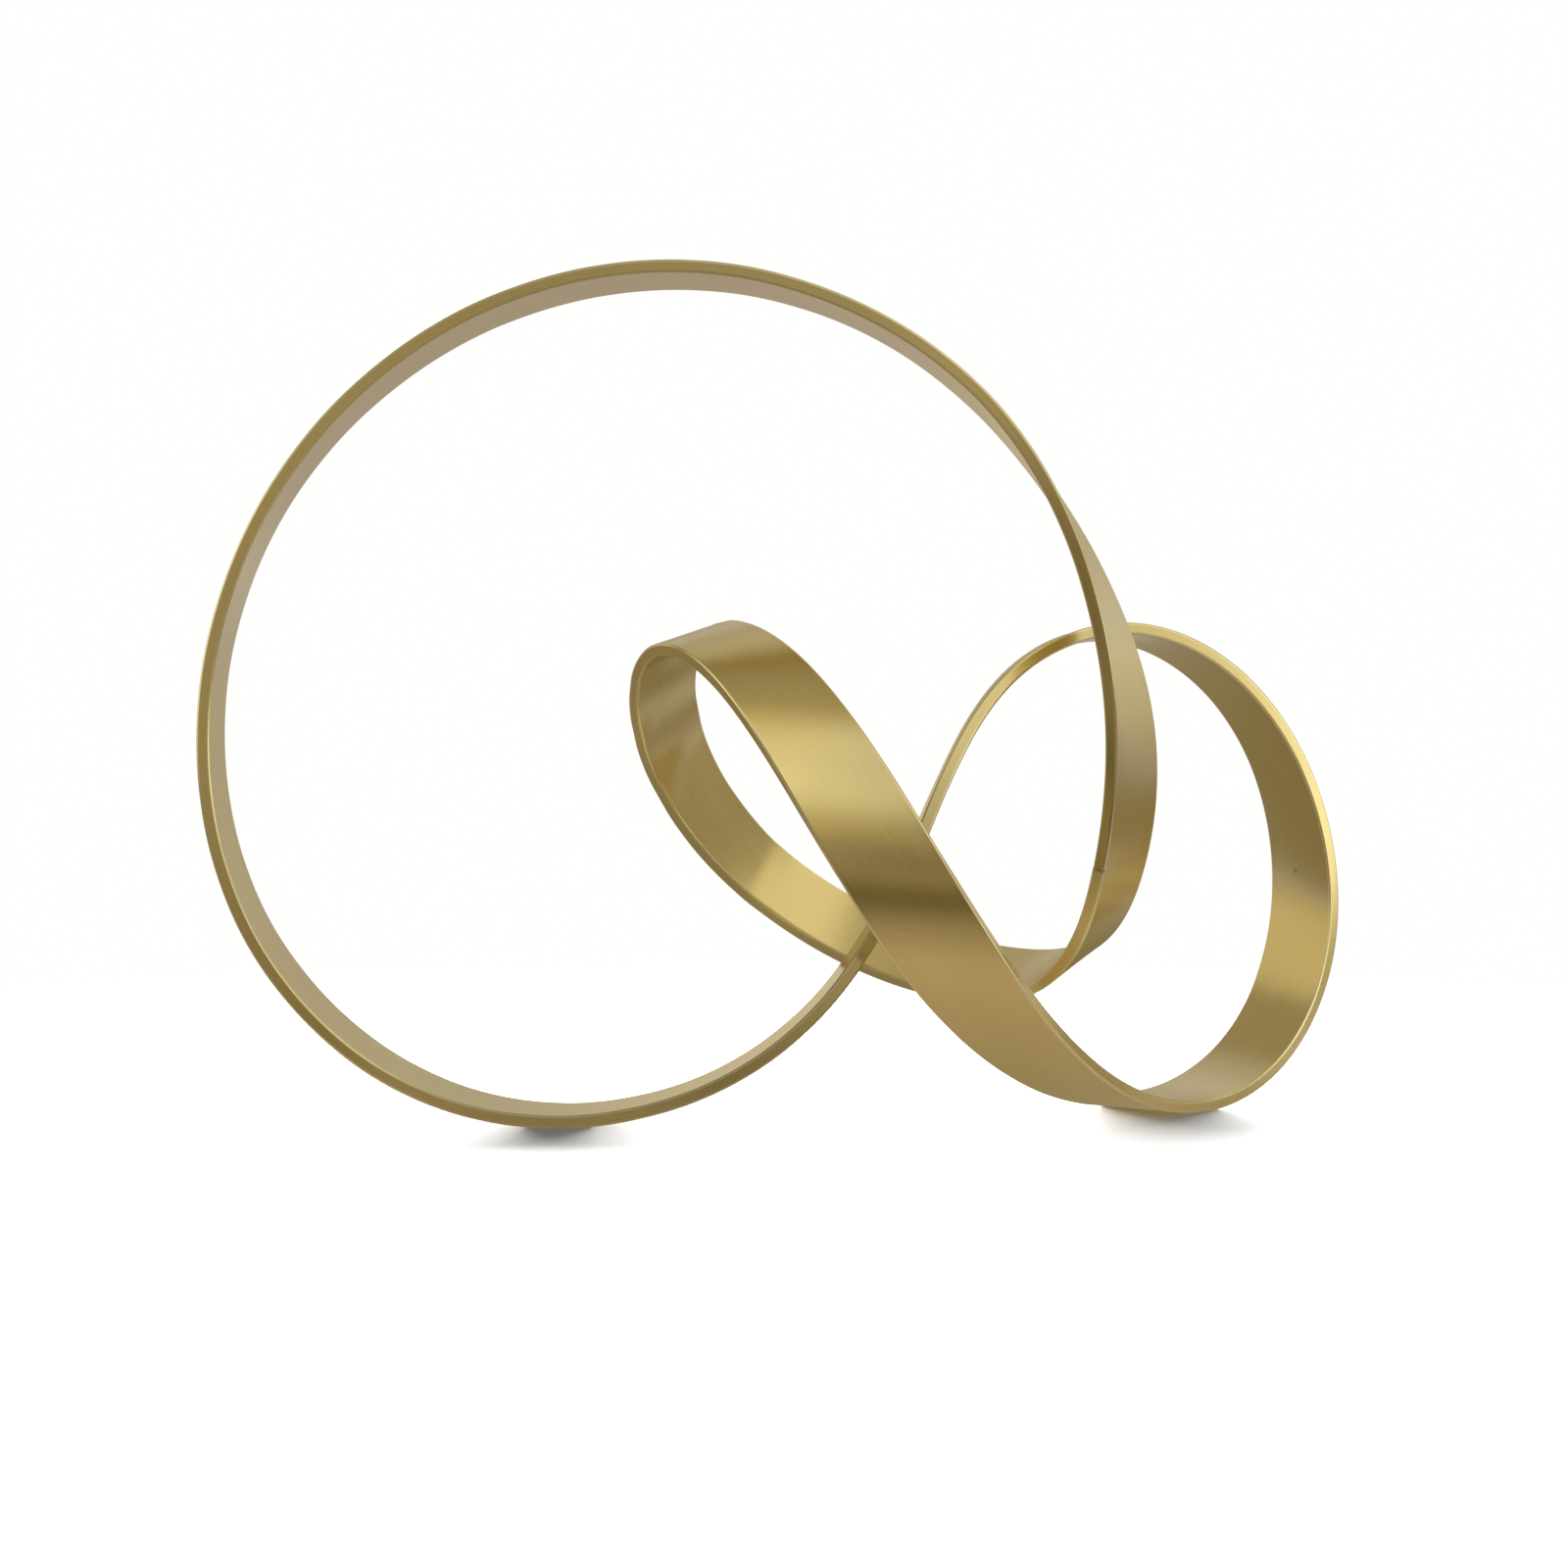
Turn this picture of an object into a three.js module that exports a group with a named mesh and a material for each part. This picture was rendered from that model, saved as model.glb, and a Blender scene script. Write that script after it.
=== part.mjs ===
// Abstract table sculpture: one flat bar of brass, bent and twisted into a closed, knotted band.
// A large upright hoop runs into a small coiled loop, a broad diagonal across the front and a
// tilted loop on the right, and comes back behind itself to the hoop's own start. After one full
// circuit the bar has turned over once, so its two flat faces are one and the same face.
//
// Millimetres, +Z up, +X to the right, +Y to the back. The origin is the middle of the footprint,
// at table height.

import * as THREE from 'three';

// ---- driving dimensions --------------------------------------------------------------------
const BAR_WIDTH = 30;        // across the flat face of the bar
const BAR_THICKNESS = 4;     // across its narrow edge
const STEPS_PER_SPAN = 10;   // cross-sections from one station to the next
const FOOT_FILING = 0.45;    // depth filed flat underneath, where the band stands on the table

// Stations along the middle of the bar, in the order in which it was bent, about 70 mm apart.
// "at" is the middle of the bar, "across" the direction of its 30 mm width there.
const STATIONS = {
  hoopFoot:        { at: [-73.7, -23.8, 2.0],    across: [0.037, -0.999, 0.0] },
  hoopLowerLeft:   { at: [-141.6, -25.1, 28.8],  across: [-0.006, -1.0, -0.018] },
  hoopLeft:        { at: [-177.8, -25.2, 90.0],  across: [0.048, -0.999, 0.02] },
  hoopUpperLeft:   { at: [-169.6, -23.5, 177.2], across: [0.091, -0.996, -0.013] },
  hoopShoulder:    { at: [-108.2, -21.6, 246.1], across: [0.028, -0.999, -0.023] },
  hoopTop:         { at: [-31.4, -21.5, 265.1],  across: [-0.014, -1.0, -0.02] },
  hoopUpperRight:  { at: [29.0, -22.9, 247.9],   across: [-0.044, -0.999, -0.024] },
  hoopRight:       { at: [75.3, -24.7, 205.6],   across: [-0.108, -0.993, -0.04] },
  dropUpper:       { at: [102.5, -24.9, 143.9],  across: [-0.422, -0.894, -0.147] },
  dropLower:       { at: [105.9, -17.3, 91.4],   across: [-0.587, -0.797, -0.139] },
  dropTurn:        { at: [93.6, -1.5, 51.9],     across: [-0.505, -0.839, -0.205] },
  underpass:       { at: [55.5, 20.0, 44.2],     across: [-0.383, -0.776, -0.501] },
  coilBottom:      { at: [-5.6, 31.4, 72.5],     across: [-0.365, -0.8, -0.476] },
  coilLeft:        { at: [-41.0, 14.1, 126.3],   across: [-0.544, -0.664, -0.514] },
  coilTop:         { at: [-26.1, -24.9, 151.0],  across: [-0.781, -0.563, -0.271] },
  diagonalUpper:   { at: [11.2, -53.9, 110.8],   across: [-0.835, -0.285, -0.471] },
  diagonalLower:   { at: [55.6, -44.6, 42.8],    across: [-0.795, 0.449, -0.408] },
  loopFoot:        { at: [114.4, 1.0, 2.4],      across: [-0.62, 0.784, -0.031] },
  loopLowerRight:  { at: [168.2, 39.8, 33.4],    across: [-0.554, 0.832, -0.003] },
  loopRight:       { at: [167.3, 43.4, 110.5],   across: [-0.358, 0.933, -0.022] },
  loopTop:         { at: [123.8, 29.1, 153.3],   across: [-0.305, 0.952, 0.001] },
  loopUpperLeft:   { at: [84.2, 16.5, 149.6],    across: [-0.254, 0.96, -0.118] },
  neck:            { at: [50.6, 2.0, 109.2],     across: [-0.071, 0.971, -0.23] },
  hoopStart:       { at: [7.5, -15.7, 34.4],     across: [-0.113, 0.988, -0.102] },
};

// ---- a smooth closed curve through the stations ----------------------------------------------
// Uniform quintic B-spline. "sign" is +1 for a quantity that repeats after one circuit (the
// position) and -1 for one that comes back reversed (the direction across the bar).

const stations = Object.values(STATIONS);
const SPANS = stations.length;

// Weights of the six control values around a point at fraction f of a span, and their slopes.
function quintic(t) {
  const BINOMIAL = [1, -6, 15, -20, 15, -6, 1];
  return BINOMIAL.reduce((sum, b, j) => sum + b * Math.max(t - j, 0) ** 5, 0) / 120;
}
function quinticSlope(t) {
  const BINOMIAL = [1, -6, 15, -20, 15, -6, 1];
  return BINOMIAL.reduce((sum, b, j) => sum + b * Math.max(t - j, 0) ** 4, 0) / 24;
}

function evaluate(controls, sign, position, weight) {
  const span = Math.floor(position);
  const f = position - span;
  const out = new THREE.Vector3();
  for (let j = -2; j <= 3; j++) {
    const lap = Math.floor((span + j) / SPANS);
    const turned = lap % 2 === 0 ? 1 : sign;
    out.addScaledVector(controls[span + j - lap * SPANS], turned * weight(f + 3 - j));
  }
  return out;
}

// Control values whose curve passes through the given values at the stations.
function controlsThrough(values, sign) {
  const controls = values.map((v) => v.clone());
  for (let pass = 0; pass < 240; pass++) {
    const miss = values.map((v, k) => v.clone().sub(evaluate(controls, sign, k, quintic)));
    controls.forEach((c, k) => c.add(miss[k]));
  }
  return controls;
}

const middle = controlsThrough(stations.map((s) => new THREE.Vector3(...s.at)), 1);
const across = controlsThrough(stations.map((s) => new THREE.Vector3(...s.across)), -1);

// ---- the bar swept along it --------------------------------------------------------------------
// Corners of the rectangular section, counter-clockwise about the direction of travel, as signs
// along the width and the thickness.
const CORNERS = [[1, 1], [-1, 1], [-1, -1], [1, -1]];

function section(position) {
  const centre = evaluate(middle, 1, position, quintic);
  const along = evaluate(middle, 1, position, quinticSlope).normalize();
  const width = evaluate(across, -1, position, quintic);
  width.addScaledVector(along, -width.dot(along)).normalize();
  const through = new THREE.Vector3().crossVectors(along, width);
  return CORNERS.map(([a, b]) => {
    const corner = centre.clone()
      .addScaledVector(width, (a * BAR_WIDTH) / 2)
      .addScaledVector(through, (b * BAR_THICKNESS) / 2);
    corner.z = Math.max(corner.z - FOOT_FILING, 0);
    return corner;
  });
}

function bandGeometry() {
  const rings = SPANS * STEPS_PER_SPAN;
  const positions = [];
  for (let i = 0; i < rings; i++) {
    for (const corner of section(i / STEPS_PER_SPAN)) positions.push(...corner.toArray());
  }
  const index = [];
  for (let i = 0; i < rings; i++) {
    const last = i === rings - 1;
    const next = last ? 0 : i + 1;
    const half = last ? 2 : 0;              // the section comes back turned by half a revolution
    for (let q = 0; q < 4; q++) {
      const r = (q + 1) % 4;
      const a = 4 * i + q;
      const b = 4 * i + r;
      const c = 4 * next + ((r + half) % 4);
      const d = 4 * next + ((q + half) % 4);
      index.push(a, b, c, a, c, d);
    }
  }
  const geometry = new THREE.BufferGeometry();
  geometry.setAttribute('position', new THREE.Float32BufferAttribute(positions, 3));
  geometry.setIndex(index);
  geometry.computeVertexNormals();
  return geometry;
}

// ---- the object ----------------------------------------------------------------------------------
const brass = new THREE.MeshStandardMaterial({ color: 0xb08d57, roughness: 0.32, metalness: 1 });

const band = new THREE.Mesh(bandGeometry(), brass);
band.name = 'brass_band';

const sculpture = new THREE.Group();
sculpture.add(band);

export default sculpture;
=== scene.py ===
"""Satin brass band sculpture on a pale floor, in soft studio light."""

import math

import bpy
import numpy as np
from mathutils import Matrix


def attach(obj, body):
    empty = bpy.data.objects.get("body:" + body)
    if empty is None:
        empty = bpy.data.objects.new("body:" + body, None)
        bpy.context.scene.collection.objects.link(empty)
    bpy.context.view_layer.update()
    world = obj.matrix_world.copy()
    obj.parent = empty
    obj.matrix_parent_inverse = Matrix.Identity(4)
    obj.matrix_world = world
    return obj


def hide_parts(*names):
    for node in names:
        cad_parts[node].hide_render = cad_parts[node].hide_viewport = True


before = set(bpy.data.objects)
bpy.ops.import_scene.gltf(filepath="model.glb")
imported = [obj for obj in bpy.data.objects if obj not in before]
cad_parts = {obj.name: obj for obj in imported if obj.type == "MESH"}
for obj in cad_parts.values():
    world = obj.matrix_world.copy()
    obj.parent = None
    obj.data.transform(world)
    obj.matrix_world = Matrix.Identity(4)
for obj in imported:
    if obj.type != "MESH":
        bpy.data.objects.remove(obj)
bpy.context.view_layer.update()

MM = 0.001

# ---- the bar's path: the same stations as the solid, in millimetres -------------------------
# (middle of the bar; direction across its width)
STATIONS = [
    (-73.7, -23.8, 2.0, 0.037, -0.999, 0.0),        # hoop foot
    (-141.6, -25.1, 28.8, -0.006, -1.0, -0.018),    # hoop, lower left
    (-177.8, -25.2, 90.0, 0.048, -0.999, 0.02),     # hoop, left
    (-169.6, -23.5, 177.2, 0.091, -0.996, -0.013),  # hoop, upper left
    (-108.2, -21.6, 246.1, 0.028, -0.999, -0.023),  # hoop shoulder
    (-31.4, -21.5, 265.1, -0.014, -1.0, -0.02),     # hoop top
    (29.0, -22.9, 247.9, -0.044, -0.999, -0.024),   # hoop, upper right
    (75.3, -24.7, 205.6, -0.108, -0.993, -0.04),    # hoop, right
    (102.5, -24.9, 143.9, -0.422, -0.894, -0.147),  # drop, upper
    (105.9, -17.3, 91.4, -0.587, -0.797, -0.139),   # drop, lower
    (93.6, -1.5, 51.9, -0.505, -0.839, -0.205),     # turn below the drop
    (55.5, 20.0, 44.2, -0.383, -0.776, -0.501),     # underpass
    (-5.6, 31.4, 72.5, -0.365, -0.8, -0.476),       # coil bottom
    (-41.0, 14.1, 126.3, -0.544, -0.664, -0.514),   # coil left
    (-26.1, -24.9, 151.0, -0.781, -0.563, -0.271),  # coil top
    (11.2, -53.9, 110.8, -0.835, -0.285, -0.471),   # diagonal, upper
    (55.6, -44.6, 42.8, -0.795, 0.449, -0.408),     # diagonal, lower
    (114.4, 1.0, 2.4, -0.62, 0.784, -0.031),        # loop foot
    (168.2, 39.8, 33.4, -0.554, 0.832, -0.003),     # loop, lower right
    (167.3, 43.4, 110.5, -0.358, 0.933, -0.022),    # loop, right
    (123.8, 29.1, 153.3, -0.305, 0.952, 0.001),     # loop top
    (84.2, 16.5, 149.6, -0.254, 0.96, -0.118),      # loop, upper left
    (50.6, 2.0, 109.2, -0.071, 0.971, -0.23),       # neck
    (7.5, -15.7, 34.4, -0.113, 0.988, -0.102),      # hoop start
]
SPANS = len(STATIONS)
FOOT_FILING = 0.45
HALF_WIDTH = 15.0
HALF_THICK = 2.0
CORNER = 0.65            # broken edge
SEAM = 9.224             # position of the joint line on the narrow edge, in spans


def quintic(t, slope=False):
    power, divisor = (4, 24.0) if slope else (5, 120.0)
    total = np.zeros_like(t)
    for j, b in enumerate((1, -6, 15, -20, 15, -6, 1)):
        total += b * np.maximum(t - j, 0.0) ** power
    return total / divisor


def evaluate(controls, sign, position, slope=False):
    position = np.asarray(position, float)
    span = np.floor(position).astype(int)
    f = position - span
    out = np.zeros((len(position), 3))
    for j in range(-2, 4):
        lap = (span + j) // SPANS
        turned = np.where(lap % 2 == 0, 1.0, sign)
        weight = turned * quintic(f + 3 - j, slope)
        out += controls[span + j - lap * SPANS] * weight[:, None]
    return out


def controls_through(values, sign):
    controls = values.copy()
    at = np.arange(SPANS, dtype=float)
    for _ in range(240):
        controls = controls + values - evaluate(controls, sign, at)
    return controls


table = np.array(STATIONS)
middle = controls_through(table[:, :3], 1.0)
across = controls_through(table[:, 3:], -1.0)


def bump(x, centre, width):
    return np.exp(-(((x - centre) / width) ** 2))


def ease(x):
    x = np.clip(x, 0.0, 1.0)
    return x * x * (3.0 - 2.0 * x)


# ---- the visible bar --------------------------------------------------------------------------
def half_profile():
    """Half of the section, from the middle of one narrow edge to the middle of the other."""
    w, t, r, s = HALF_WIDTH, HALF_THICK, CORNER, 0.22
    points = [(w, 0.0), (w, t - r - s)]
    for k in range(6):
        a = math.radians(90.0 * k / 5)
        points.append((w - r + r * math.cos(a), t - r + r * math.sin(a)))
    inner = w - r - s
    points += [(x, t) for x in np.linspace(inner, -inner, 11)]
    for k in range(6):
        a = math.radians(90.0 + 90.0 * k / 5)
        points.append((-w + r + r * math.cos(a), t - r + r * math.sin(a)))
    points.append((-w, t - r - s))
    return np.array(points)


def band_mesh():
    half = half_profile()
    profile = np.vstack([half, -half])
    count = len(profile)

    # Sections along the bar, closer together at the joint line.
    fine = np.arange(0.0, SPANS, 0.004)
    travel = np.linalg.norm(evaluate(middle, 1.0, fine, True), axis=1)
    per_span = float(np.interp(SEAM, fine, travel))
    places = set(np.round(np.arange(0, SPANS * 36) / 36.0, 6))
    for d in (-1.6, -1.0, -0.6, -0.4, -0.25, -0.12, 0.0, 0.12, 0.25, 0.4, 0.6, 1.0, 1.6):
        places.add(round(SEAM + d / per_span, 6))
    position = np.array(sorted(places))
    rings = len(position)

    centre = evaluate(middle, 1.0, position)
    along = evaluate(middle, 1.0, position, True)
    along /= np.linalg.norm(along, axis=1)[:, None]
    width = evaluate(across, -1.0, position)
    width -= along * np.sum(width * along, axis=1)[:, None]
    width /= np.linalg.norm(width, axis=1)[:, None]
    through = np.cross(along, width)

    length_at = np.concatenate([[0.0], np.cumsum(0.004 * travel)])
    total = float(length_at[-1])
    run = np.interp(position, np.append(fine, SPANS), length_at)

    w = np.repeat(profile[None, :, 0], rings, 0)
    t = np.repeat(profile[None, :, 1], rings, 0)
    p = position[:, None]

    # Hand-bent bar: a faint lengthwise waviness, deeper where it was rolled tightest.
    turn = 2 * math.pi * run / total
    sway = 0.030 * np.sin(23 * turn + 0.6) + 0.022 * np.sin(37 * turn + 2.1) + 0.014 * np.sin(59 * turn + 4.0)
    t = t + sway[:, None]
    for place, size, reach, lean in ((12.09, -0.13, 0.050, 0.003), (12.42, 0.16, 0.10, -0.004),
                                     (12.80, 0.30, 0.085, 0.009), (13.20, 0.20, 0.060, 0.010),
                                     (13.58, 0.20, 0.060, 0.014), (13.85, -0.12, 0.08, 0.004)):
        t = t + size * bump(p + lean * w, place, reach)

    # Joint line across one narrow edge: a fine groove, the two sides shaped differently; the edge's base
    # colour is darker above the joint and lighter below it.
    off = (p - SEAM) * per_span
    on_edge = np.clip((w - (HALF_WIDTH - CORNER - 0.1)) / 0.4, 0.0, 1.0)
    groove = 0.05 * np.exp(-((off / 0.30) ** 2))
    proud = np.where(off < 0.0, 0.07 * np.exp(off / 30.0), 0.0)
    lean = np.where(off < 0.0, 0.0, 0.23 * np.exp(-((off / 80.0) ** 2)))
    w = w + on_edge * (proud - groove + lean * profile[None, :, 1])
    side = np.where(off < 0.0, 1.0 - 0.25 * np.exp(off / 150.0), 1.0 + 0.12 * np.exp(-off / 60.0))
    edge_tone_and_painted_highlight = 1.0 + on_edge * (side * (1.0 - 0.5 * np.exp(-((off / 0.35) ** 2))) - 1.0)

    # The narrow edge's base colour is darker from the neck to the hoop's foot and under the coil, and lighter
    # at the hoop's two shoulders, a painted highlight.
    far_edge = np.clip((-w - (HALF_WIDTH - CORNER - 0.1)) / 0.4, 0.0, 1.0)
    edge_tone_and_painted_highlight = edge_tone_and_painted_highlight * (1.0 - far_edge * 0.36 * ease((p - 21.8) / 0.6))
    edge_tone_and_painted_highlight = edge_tone_and_painted_highlight * (1.0 - on_edge * 0.36 * ease((1.0 - p) / 0.8))
    edge_tone_and_painted_highlight = edge_tone_and_painted_highlight * (1.0 - on_edge * 0.20 * ease((p - 10.8) / 0.5) * ease((13.1 - p) / 0.5))
    edge_tone_and_painted_highlight = edge_tone_and_painted_highlight * (1.0 + on_edge * 0.12 * (bump(p, 3.5, 0.5) + bump(p, 6.5, 0.5)))

    points = centre[:, None, :] + width[:, None, :] * w[..., None] + through[:, None, :] * t[..., None]
    points[..., 2] = np.maximum(points[..., 2] - FOOT_FILING, 0.0)

    # Distance around the section, for the brushing.
    step = np.linalg.norm(np.roll(profile, -1, 0) - profile, axis=1)
    around = np.concatenate([[0.0], np.cumsum(step)])

    index = np.arange(rings * count).reshape(rings, count)
    following = np.vstack([index[1:], np.roll(index[0], -count // 2)])
    a, b = index, np.roll(index, -1, 1)
    c, d = np.roll(following, -1, 1), following
    faces = np.stack([a, b, c, d], -1).reshape(-1, 4)

    run_next = np.append(run[1:], total)
    v0 = np.repeat(around[None, :-1], rings, 0)
    v1 = np.repeat(around[None, 1:], rings, 0)
    u0 = np.repeat(run[:, None], count, 1)
    u1 = np.repeat(run_next[:, None], count, 1)
    # The surface unrolled into five strips side by side, each a fifth of the bar.
    strips, gap = 5, 2.0
    fifth = total / strips
    lane = np.minimum(np.floor(run / fifth), strips - 1)[:, None]
    size = max(strips * (around[-1] + gap), fifth * 1.02)
    v0, v1 = v0 + lane * (around[-1] + gap), v1 + lane * (around[-1] + gap)
    u0, u1 = u0 - lane * fifth, u1 - lane * fifth
    uv = np.stack([np.stack([v0, u0], -1), np.stack([v1, u0], -1),
                   np.stack([v1, u1], -1), np.stack([v0, u1], -1)], 2).reshape(-1, 2) / size

    mesh = bpy.data.meshes.new("brass_bar")
    mesh.from_pydata((points.reshape(-1, 3) * MM).tolist(), [], faces.tolist())
    layer = mesh.uv_layers.new(name="bar")
    layer.data.foreach_set("uv", uv.astype(np.float32).ravel())

    # Coordinates that run with the grain: once around a circle along the bar, and across it.
    radius = total / (2 * math.pi)
    flow = np.zeros((rings, count, 3))
    flow[..., 0] = (radius * np.cos(turn))[:, None]
    flow[..., 1] = (radius * np.sin(turn))[:, None]
    flow[..., 2] = np.tile(around[:-1][: count // 2], 2)[None, :]
    grain = mesh.attributes.new("flow", "FLOAT_VECTOR", "POINT")
    grain.data.foreach_set("vector", (flow * MM).astype(np.float32).ravel())

    corner = ((np.abs(profile[:, 0]) > HALF_WIDTH - CORNER - 0.01)
              & (np.abs(profile[:, 1]) > HALF_THICK - CORNER - 0.01)).astype(float)
    worn = mesh.attributes.new("worn", "FLOAT", "POINT")
    worn.data.foreach_set("value", np.repeat(corner[None, :], rings, 0).astype(np.float32).ravel())

    # Base colour factor for the narrow edge, with the painted highlight at the hoop's shoulders.
    edge_tone_store = mesh.attributes.new("edge_tone_and_painted_highlight", "FLOAT", "POINT")
    edge_tone_store.data.foreach_set("value", edge_tone_and_painted_highlight.astype(np.float32).ravel())

    mesh.polygons.foreach_set("use_smooth", np.ones(len(mesh.polygons), dtype=bool))
    mesh.update()
    return mesh


# ---- materials ----------------------------------------------------------------------------------
def node(tree, kind, **inputs):
    made = tree.nodes.new(kind)
    for key, value in inputs.items():
        made.inputs[key].default_value = value
    return made


def brass_material():
    material = bpy.data.materials.new("satin_brass")
    material.use_nodes = True
    tree = material.node_tree
    link = tree.links.new
    shader = tree.nodes["Principled BSDF"]
    shader.inputs["Metallic"].default_value = 1.0
    shader.inputs["Anisotropic"].default_value = 0.65

    tangent = tree.nodes.new("ShaderNodeTangent")
    tangent.direction_type = "UV_MAP"
    tangent.uv_map = "bar"
    link(tangent.outputs["Tangent"], shader.inputs["Tangent"])

    flow = tree.nodes.new("ShaderNodeAttribute")
    flow.attribute_name = "flow"

    def grain(along, over, detail, rough):
        scaled = tree.nodes.new("ShaderNodeMapping")
        scaled.inputs["Scale"].default_value = (along, along, over)
        link(flow.outputs["Vector"], scaled.inputs["Vector"])
        noise = tree.nodes.new("ShaderNodeTexNoise")
        noise.inputs["Scale"].default_value = 1.0
        noise.inputs["Detail"].default_value = detail
        noise.inputs["Roughness"].default_value = rough
        link(scaled.outputs["Vector"], noise.inputs["Vector"])
        return noise.outputs["Fac"]

    streaks = grain(9.0, 1300.0, 4.0, 0.65)       # brushing, under a millimetre across
    patches = grain(26.0, 60.0, 2.0, 0.5)         # slow drift of tone

    tone = tree.nodes.new("ShaderNodeValToRGB")
    tone.color_ramp.elements[0].position = 0.30
    tone.color_ramp.elements[0].color = (0.85, 0.732, 0.45, 1.0)
    tone.color_ramp.elements[1].position = 0.70
    tone.color_ramp.elements[1].color = (0.888, 0.768, 0.48, 1.0)
    link(patches, tone.inputs["Fac"])

    brushed = tree.nodes.new("ShaderNodeMix")
    brushed.data_type = "RGBA"
    brushed.blend_type = "MULTIPLY"
    brushed.inputs["Factor"].default_value = 1.0
    shade = tree.nodes.new("ShaderNodeValToRGB")
    shade.color_ramp.elements[0].position = 0.28
    shade.color_ramp.elements[0].color = (0.950, 0.947, 0.940, 1.0)
    shade.color_ramp.elements[1].position = 0.66
    shade.color_ramp.elements[1].color = (1.0, 1.0, 1.0, 1.0)
    link(streaks, shade.inputs["Fac"])
    link(tone.outputs["Color"], brushed.inputs["A"])
    link(shade.outputs["Color"], brushed.inputs["B"])

    # A small pit on the inner face of the right loop.
    where = tree.nodes.new("ShaderNodeTexCoord")
    away = tree.nodes.new("ShaderNodeVectorMath")
    away.operation = "DISTANCE"
    away.inputs[1].default_value = (0.17302, 0.04663, 0.07521)
    link(where.outputs["Object"], away.inputs[0])
    pit = tree.nodes.new("ShaderNodeMapRange")
    pit.interpolation_type = "SMOOTHSTEP"
    pit.inputs["From Min"].default_value = 0.00035
    pit.inputs["From Max"].default_value = 0.0011
    pit.inputs["To Min"].default_value = 0.62
    pit.inputs["To Max"].default_value = 1.0
    link(away.outputs["Value"], pit.inputs["Value"])
    pitted = tree.nodes.new("ShaderNodeMix")
    pitted.data_type = "RGBA"
    pitted.blend_type = "MULTIPLY"
    pitted.inputs["Factor"].default_value = 1.0
    link(brushed.outputs["Result"], pitted.inputs["A"])
    link(pit.outputs["Result"], pitted.inputs["B"])

    # Corners rubbed brighter.
    worn = tree.nodes.new("ShaderNodeAttribute")
    worn.attribute_name = "worn"
    rubbed = tree.nodes.new("ShaderNodeMix")
    rubbed.data_type = "RGBA"
    link(worn.outputs["Fac"], rubbed.inputs["Factor"])
    link(pitted.outputs["Result"], rubbed.inputs["A"])
    rubbed.inputs["B"].default_value = (0.96, 0.88, 0.64, 1.0)

    # Base colour of the narrow edge: darker above the joint and lighter below it, a fine dark line at the
    # joint, darker from the neck to the hoop's foot and under the coil, and a painted highlight at the hoop's
    # two shoulders.
    edge_tone_and_painted_highlight = tree.nodes.new("ShaderNodeAttribute")
    edge_tone_and_painted_highlight.attribute_name = "edge_tone_and_painted_highlight"
    edge_tone_mix = tree.nodes.new("ShaderNodeMix")
    edge_tone_mix.data_type = "RGBA"
    edge_tone_mix.blend_type = "MULTIPLY"
    edge_tone_mix.inputs["Factor"].default_value = 1.0
    link(rubbed.outputs["Result"], edge_tone_mix.inputs["A"])
    link(edge_tone_and_painted_highlight.outputs["Fac"], edge_tone_mix.inputs["B"])
    link(edge_tone_mix.outputs["Result"], shader.inputs["Base Color"])

    gloss = tree.nodes.new("ShaderNodeMapRange")
    gloss.inputs["From Min"].default_value = 0.25
    gloss.inputs["From Max"].default_value = 0.75
    gloss.inputs["To Min"].default_value = 0.205
    gloss.inputs["To Max"].default_value = 0.25
    link(streaks, gloss.inputs["Value"])
    link(gloss.outputs["Result"], shader.inputs["Roughness"])

    relief = tree.nodes.new("ShaderNodeBump")
    relief.inputs["Strength"].default_value = 0.05
    relief.inputs["Distance"].default_value = 0.00006
    link(streaks, relief.inputs["Height"])
    link(relief.outputs["Normal"], shader.inputs["Normal"])
    return material


# ---- the object -----------------------------------------------------------------------------------
band = bpy.data.objects.new("brass_bar", band_mesh())
bpy.context.scene.collection.objects.link(band)
band.data.materials.append(brass_material())
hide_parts("brass_band")
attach(band, "root")

# ---- floor, light and camera ------------------------------------------------------------------------
def direction(azimuth, elevation):
    """Unit vector: azimuth 0 towards the viewer, positive to the right."""
    a, e = math.radians(azimuth), math.radians(elevation)
    return (math.cos(e) * math.sin(a), -math.cos(e) * math.cos(a), math.sin(e))


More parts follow.
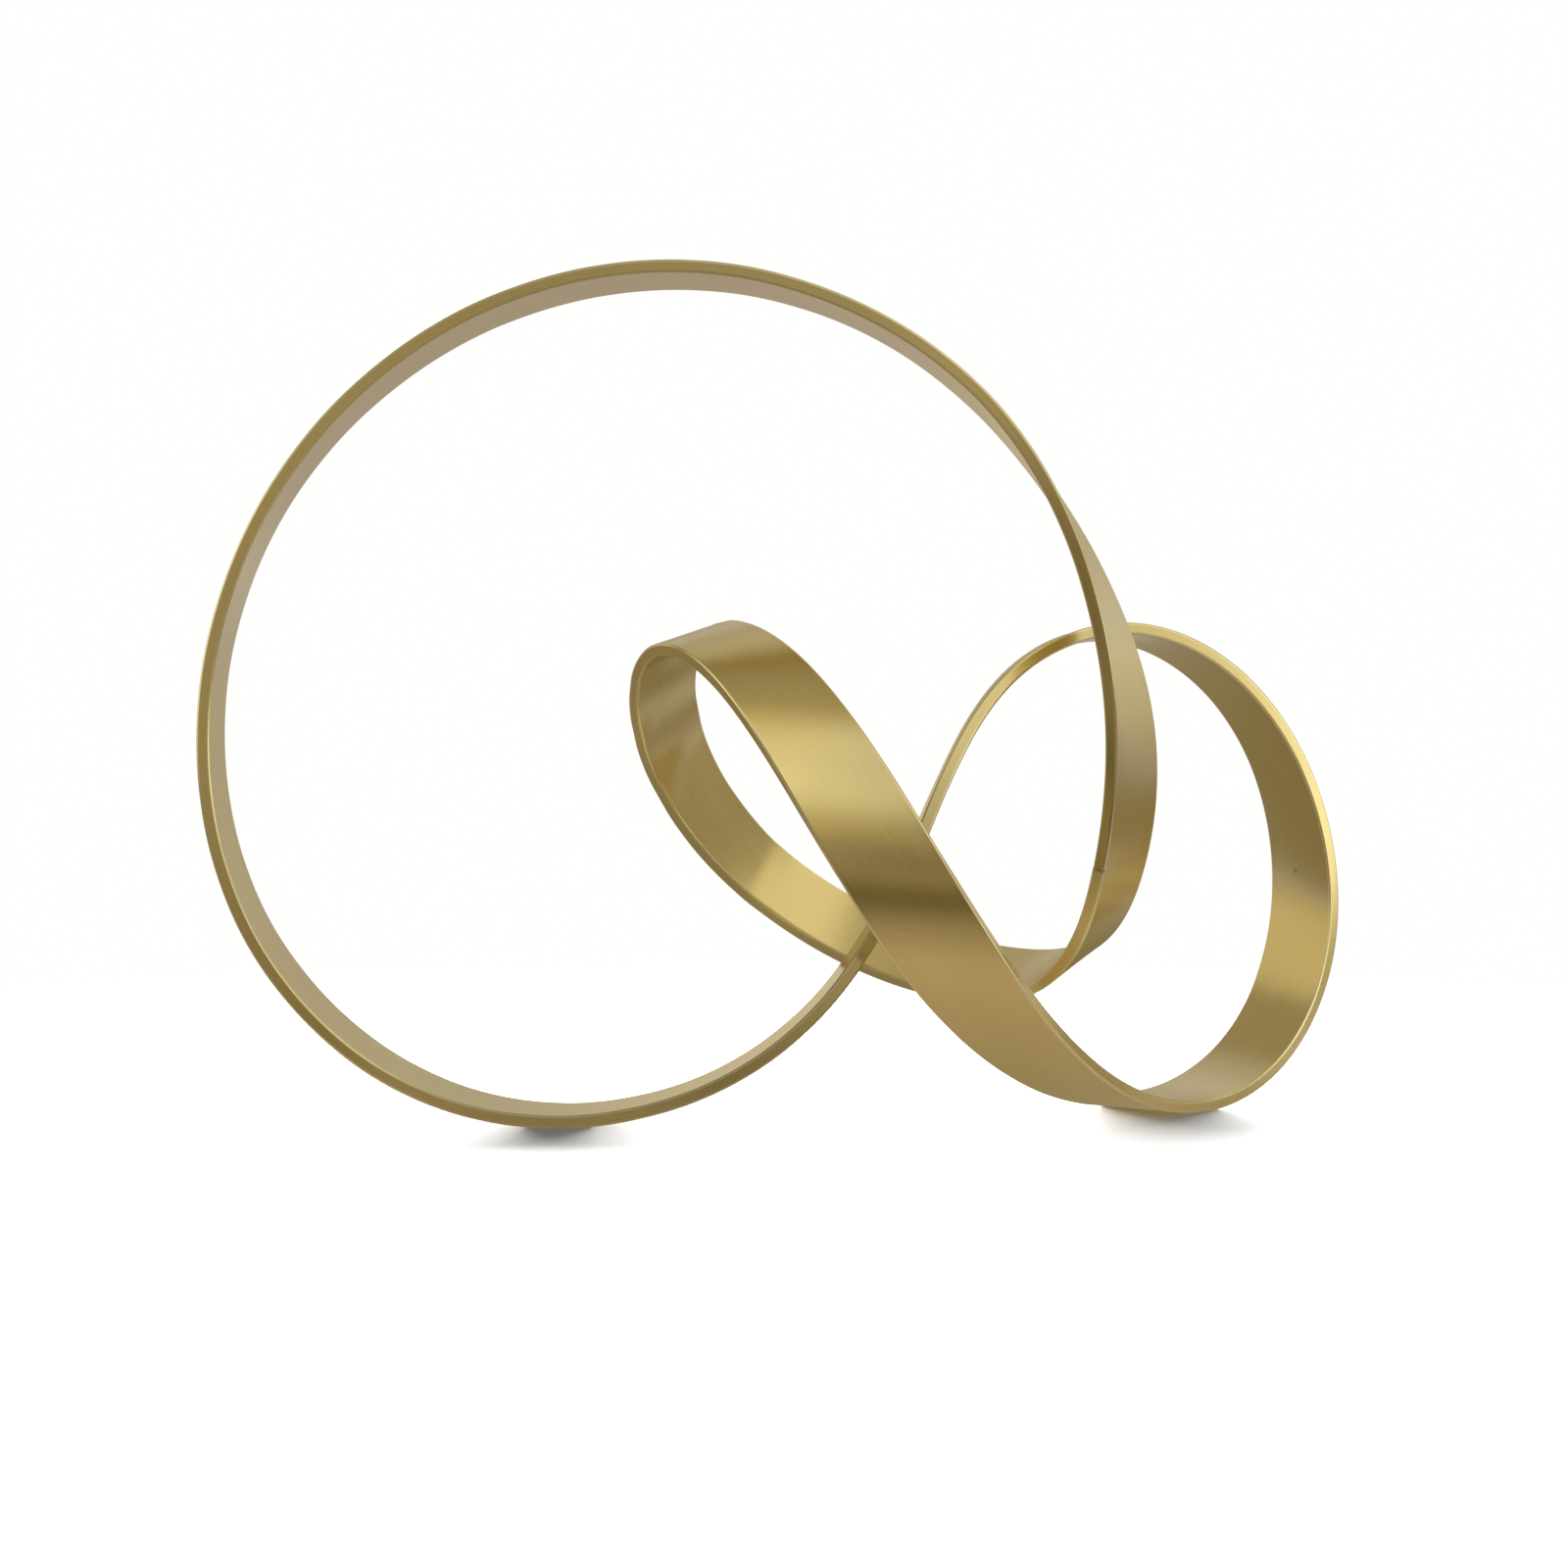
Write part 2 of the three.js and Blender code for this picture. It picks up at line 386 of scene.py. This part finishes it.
def floor_material():
    material = bpy.data.materials.new("pale_floor")
    material.use_nodes = True
    tree = material.node_tree
    link = tree.links.new
    tree.nodes.remove(tree.nodes["Principled BSDF"])
    output = tree.nodes["Material Output"]
    matte = node(tree, "ShaderNodeBsdfDiffuse", Color=(0.97, 0.97, 0.965, 1.0))
    place = tree.nodes.new("ShaderNodeNewGeometry")
    split = tree.nodes.new("ShaderNodeSeparateXYZ")
    link(place.outputs["Position"], split.inputs["Vector"])
    # For glossy rays the floor glows, its colour set by depth and lighter in a patch to the right: a painted
    # reflection of the floor and studio as the metal sees them.
    depth = node(tree, "ShaderNodeMapRange", **{"From Min": -0.8, "From Max": 1.0})
    link(split.outputs["Y"], depth.inputs["Value"])
    ramp = tree.nodes.new("ShaderNodeValToRGB")
    stops = [(-0.60, (0.215, 0.165, 0.088)), (-0.35, (0.302, 0.245, 0.123)), (-0.20, (0.0916, 0.0694, 0.0185)),
             (-0.08, (0.486, 0.395, 0.239)), (0.03, (0.286, 0.239, 0.141)), (0.18, (0.234, 0.186, 0.0876)),
             (0.40, (0.312, 0.270, 0.185)), (0.80, (0.445, 0.400, 0.365))]
    while len(ramp.color_ramp.elements) < len(stops):
        ramp.color_ramp.elements.new(1.0)
    for element, (y, colour) in zip(ramp.color_ramp.elements, stops):
        element.position = (y + 0.8) / 1.8
        element.color = (*colour, 1.0)
    link(depth.outputs["Result"], ramp.inputs["Fac"])
    beside = tree.nodes.new("ShaderNodeMapRange")
    beside.interpolation_type = "SMOOTHSTEP"
    beside.inputs["From Min"].default_value = 0.15
    beside.inputs["From Max"].default_value = 0.25
    link(split.outputs["X"], beside.inputs["Value"])
    beyond = tree.nodes.new("ShaderNodeMapRange")
    beyond.interpolation_type = "SMOOTHSTEP"
    beyond.inputs["From Min"].default_value = 0.30
    beyond.inputs["From Max"].default_value = 0.46
    beyond.inputs["To Min"].default_value = 1.0
    beyond.inputs["To Max"].default_value = 0.0
    link(split.outputs["X"], beyond.inputs["Value"])
    patch = tree.nodes.new("ShaderNodeMath")
    patch.operation = "MULTIPLY"
    link(beside.outputs["Result"], patch.inputs[0])
    link(beyond.outputs["Result"], patch.inputs[1])
    lit = tree.nodes.new("ShaderNodeMix")
    lit.data_type = "RGBA"
    lit.blend_type = "ADD"
    link(patch.outputs["Value"], lit.inputs["Factor"])
    link(ramp.outputs["Color"], lit.inputs["A"])
    lit.inputs["B"].default_value = (0.15, 0.16, 0.17, 1.0)
    glow = tree.nodes.new("ShaderNodeEmission")
    link(lit.outputs["Result"], glow.inputs["Color"])
    rays = tree.nodes.new("ShaderNodeLightPath")
    # Away from the sculpture the floor runs out into plain white.
    out = tree.nodes.new("ShaderNodeVectorMath")
    out.operation = "LENGTH"
    link(place.outputs["Position"], out.inputs[0])
    fade = tree.nodes.new("ShaderNodeMapRange")
    fade.interpolation_type = "SMOOTHSTEP"
    fade.inputs["From Min"].default_value = 0.30
    fade.inputs["From Max"].default_value = 0.60
    link(out.outputs["Value"], fade.inputs["Value"])
    white = node(tree, "ShaderNodeEmission", Color=(1.0, 1.0, 0.985, 1.0), Strength=1.0)
    ground = tree.nodes.new("ShaderNodeMixShader")
    link(fade.outputs["Result"], ground.inputs["Fac"])
    link(matte.outputs["BSDF"], ground.inputs[1])
    link(white.outputs["Emission"], ground.inputs[2])
    # Glossy rays see the glow, the painted reflection; all other rays see the pale floor.
    pick = tree.nodes.new("ShaderNodeMixShader")
    link(rays.outputs["Is Glossy Ray"], pick.inputs["Fac"])
    link(ground.outputs["Shader"], pick.inputs[1])
    link(glow.outputs["Emission"], pick.inputs[2])
    link(pick.outputs["Shader"], output.inputs["Surface"])
    material.cycles.emission_sampling = "NONE"
    return material


floor_mesh = bpy.data.meshes.new("floor")
reach = 9.0
floor_mesh.from_pydata([(-reach, -reach, 0), (reach, -reach, 0), (reach, reach, 0), (-reach, reach, 0)],
                       [], [(0, 1, 2, 3)])
floor = bpy.data.objects.new("floor", floor_mesh)
bpy.context.scene.collection.objects.link(floor)
floor.data.materials.append(floor_material())


# Soft boxes and walls of the studio as the metal sees them:
# azimuth, elevation, full within, gone beyond (degrees), colour
SOFT_BOXES = [
    (15, 33, 6, 30, (0.332, 0.356, 0.316)),    # key, above the viewer
    (38, 60, 5, 22, (0.055, 0.045, 0.015)),
    (48, 38, 5, 28, (0.284, 0.237, 0.0868)),
    (22, 14, 5, 24, (0.138, 0.114, 0.0247)),
    (45, 18, 4, 20, (0.348, 0.367, 0.296)),      # right front
    (62, 8, 5, 24, (0.146, 0.098, 0.0309)),
    (58, 2, 4, 17, (1.10, 1.10, 0.78)),
    (76, 4, 3, 13, (0.68, 0.68, 0.50)),
    (114, 53, 5, 14, (0.45, 0.42, 0.27)),      # right, high
    (135, 12, 5, 26, (0.325, 0.345, 0.345)),   # right, towards the back
    (140, 48, 6, 30, (0.256, 0.249, 0.154)),
    (180, 12, 8, 35, (0.138, 0.147, 0.180)),   # backdrop
    (-171, 1, 2, 9, (0.42, 0.38, 0.24)),
    (172, 45, 8, 28, (0.125, 0.130, 0.160)),
    (-105, 18, 5, 26, (0.332, 0.287, 0.163)),  # left
    (-60, 15, 5, 28, (0.824, 0.934, 0.618)),
]
WALLS = (0.327, 0.274, 0.151)


def studio_world():
    world = bpy.data.worlds.new("studio")
    world.use_nodes = True
    tree = world.node_tree
    link = tree.links.new
    tree.nodes.clear()
    look = tree.nodes.new("ShaderNodeTexCoord")
    running = None
    for azimuth, elevation, full, gone, colour in SOFT_BOXES:
        facing = tree.nodes.new("ShaderNodeVectorMath")
        facing.operation = "DOT_PRODUCT"
        facing.inputs[1].default_value = direction(azimuth, elevation)
        link(look.outputs["Generated"], facing.inputs[0])
        fall = tree.nodes.new("ShaderNodeMapRange")
        fall.interpolation_type = "SMOOTHERSTEP"
        fall.inputs["From Min"].default_value = math.cos(math.radians(gone))
        fall.inputs["From Max"].default_value = math.cos(math.radians(full))
        link(facing.outputs["Value"], fall.inputs["Value"])
        add = tree.nodes.new("ShaderNodeMix")
        add.data_type = "RGBA"
        add.blend_type = "ADD"
        add.clamp_factor = True
        link(fall.outputs["Result"], add.inputs["Factor"])
        if running is None:
            add.inputs["A"].default_value = (*WALLS, 1.0)
        else:
            link(running, add.inputs["A"])
        add.inputs["B"].default_value = (*colour, 1.0)
        running = add.outputs["Result"]
    seen = node(tree, "ShaderNodeBackground", Strength=1.0)
    link(running, seen.inputs["Color"])
    sky = node(tree, "ShaderNodeBackground", Color=(1.0, 1.0, 0.99, 1.0), Strength=0.15)
    pale = node(tree, "ShaderNodeBackground", Color=(1.0, 1.0, 0.985, 1.0), Strength=1.0)
    rays = tree.nodes.new("ShaderNodeLightPath")
    mirror = tree.nodes.new("ShaderNodeMixShader")
    link(rays.outputs["Is Glossy Ray"], mirror.inputs["Fac"])
    link(sky.outputs["Background"], mirror.inputs[1])
    link(seen.outputs["Background"], mirror.inputs[2])
    behind = tree.nodes.new("ShaderNodeMixShader")
    link(rays.outputs["Is Camera Ray"], behind.inputs["Fac"])
    link(mirror.outputs["Shader"], behind.inputs[1])
    link(pale.outputs["Background"], behind.inputs[2])
    output = tree.nodes.new("ShaderNodeOutputWorld")
    link(behind.outputs["Shader"], output.inputs["Surface"])
    world.cycles.sampling_method = "NONE"
    return world


scene = bpy.context.scene
scene.world = studio_world()

# A wide, low panel behind the sculpture lights the floor.
panel = bpy.data.lights.new("panel", "AREA")
panel.shape = "RECTANGLE"
panel.size, panel.size_y = 6.0, 0.32
panel.energy = 5800.0
lamp = bpy.data.objects.new("panel", panel)
lamp.location = (0.0, 3.0, 0.16)
lamp.rotation_euler = (math.radians(-90.0), 0.0, 0.0)
lamp.visible_camera = False
lamp.visible_glossy = False
scene.collection.objects.link(lamp)

scene.view_settings.view_transform = "Standard"
scene.view_settings.look = "None"

lens = bpy.data.cameras.new("view")
lens.lens = 54.0
lens.sensor_width = 36.0
lens.sensor_fit = "HORIZONTAL"
lens.clip_start = 0.01
lens.clip_end = 50.0
camera = bpy.data.objects.new("view", lens)
camera.location = (-0.002254, -0.759307, 0.107906)
camera.rotation_euler = (math.radians(90.0 - 0.2085), 0.0, 0.0)
scene.collection.objects.link(camera)
scene.camera = camera

bpy.context.view_layer.update()
